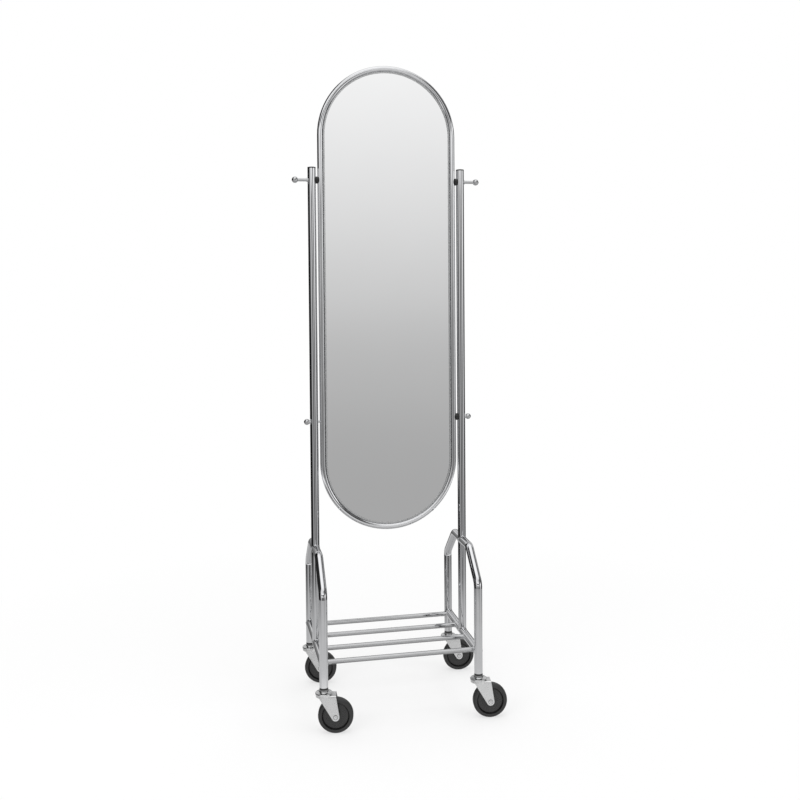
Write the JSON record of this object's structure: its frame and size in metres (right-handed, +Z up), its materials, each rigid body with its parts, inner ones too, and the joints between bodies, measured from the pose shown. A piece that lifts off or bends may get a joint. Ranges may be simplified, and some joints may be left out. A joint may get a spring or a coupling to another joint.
{
  "type": "rolling floor mirror",
  "caption": "Pill-shaped mirror in a chromed tube rim between two posts, on bent-tube arches with a rod shelf, ball-ended pegs and swivel casters",
  "frame": {"origin": "on the floor, midway between the four legs", "axes": "+X to the right across the mirror as seen from its face, -Y out of the mirror's face, +Z up"},
  "size_m": [0.5411, 0.3771, 1.7449],
  "materials": {
    "chrome": "polished chrome plate on steel tube",
    "mirror": "silvered float glass, flat polished edge",
    "backing": "dark grey hard backing board",
    "zinc": "bright zinc plate on pressed steel",
    "steel": "hardened bearing steel",
    "black_plastic": "black moulded plastic",
    "wheel_plastic": "black moulded wheel core, satin",
    "tyre": "dark grey to black soft tread, matt"
  },
  "bodies": {
    "frame": {"mirror_glass": "mirror", "mirror_rim": "chrome", "glass_channel": "chrome", "back_panel": "backing", "rim_inserts": "zinc", "left_post": "chrome", "right_post": "chrome", "left_post_cap": "chrome", "right_post_cap": "chrome", "left_arch": "chrome", "right_arch": "chrome", "left_lower_post": "chrome", "right_lower_post": "chrome", "left_side_rail": "chrome", "right_side_rail": "chrome", "shelf_rod_1": "chrome", "shelf_rod_2": "chrome", "shelf_rod_3": "chrome", "shelf_rod_4": "chrome", "left_peg": "chrome", "right_peg": "chrome", "left_knob": "chrome", "right_knob": "chrome", "upper_left_bush": "black_plastic", "upper_right_bush": "black_plastic", "lower_right_bush": "black_plastic", "front_left_sleeve": "black_plastic", "front_left_top_race": "zinc", "front_right_sleeve": "black_plastic", "front_right_top_race": "zinc", "back_left_sleeve": "black_plastic", "back_left_top_race": "zinc", "back_right_sleeve": "black_plastic", "back_right_top_race": "zinc"},
    "front_left_caster": {"front_left_fork": "zinc", "front_left_axle": "zinc", "front_left_balls": "steel"},
    "front_left_wheel": {"front_left_core": "wheel_plastic", "front_left_tyre": "tyre"},
    "front_right_caster": {"front_right_fork": "zinc", "front_right_axle": "zinc", "front_right_balls": "steel"},
    "front_right_wheel": {"front_right_core": "wheel_plastic", "front_right_tyre": "tyre"},
    "back_left_caster": {"back_left_fork": "zinc", "back_left_axle": "zinc", "back_left_balls": "steel"},
    "back_left_wheel": {"back_left_core": "wheel_plastic", "back_left_tyre": "tyre"},
    "back_right_caster": {"back_right_fork": "zinc", "back_right_axle": "zinc", "back_right_balls": "steel"},
    "back_right_wheel": {"back_right_core": "wheel_plastic", "back_right_tyre": "tyre"}
  },
  "joints": [
    {"name": "front_left_swivel", "type": "hinge", "parent": "frame", "child": "front_left_caster", "pos_m": [-0.206, -0.165, 0.102], "axis": [0, 0, 1], "continuous": true},
    {"name": "front_left_roll", "type": "hinge", "parent": "front_left_caster", "child": "front_left_wheel", "pos_m": [-0.17646, -0.17021, 0.0455], "axis": [0.1736, 0.9848, 0], "continuous": true},
    {"name": "front_right_swivel", "type": "hinge", "parent": "frame", "child": "front_right_caster", "pos_m": [0.206, -0.165, 0.102], "axis": [0, 0, 1], "continuous": true},
    {"name": "front_right_roll", "type": "hinge", "parent": "front_right_caster", "child": "front_right_wheel", "pos_m": [0.23571, -0.16917, 0.0455], "axis": [0.1392, 0.9903, 0], "continuous": true},
    {"name": "back_left_swivel", "type": "hinge", "parent": "frame", "child": "back_left_caster", "pos_m": [-0.206, 0.165, 0.102], "axis": [0, 0, 1], "continuous": true},
    {"name": "back_left_roll", "type": "hinge", "parent": "back_left_caster", "child": "back_left_wheel", "pos_m": [-0.17666, 0.15876, 0.0455], "axis": [0.2079, 0.9781, 0], "continuous": true},
    {"name": "back_right_swivel", "type": "hinge", "parent": "frame", "child": "back_right_caster", "pos_m": [0.206, 0.165, 0.102], "axis": [0, 0, 1], "continuous": true},
    {"name": "back_right_roll", "type": "hinge", "parent": "back_right_caster", "child": "back_right_wheel", "pos_m": [0.23589, 0.16239, 0.0455], "axis": [0.0872, 0.9962, 0], "continuous": true}
  ]
}
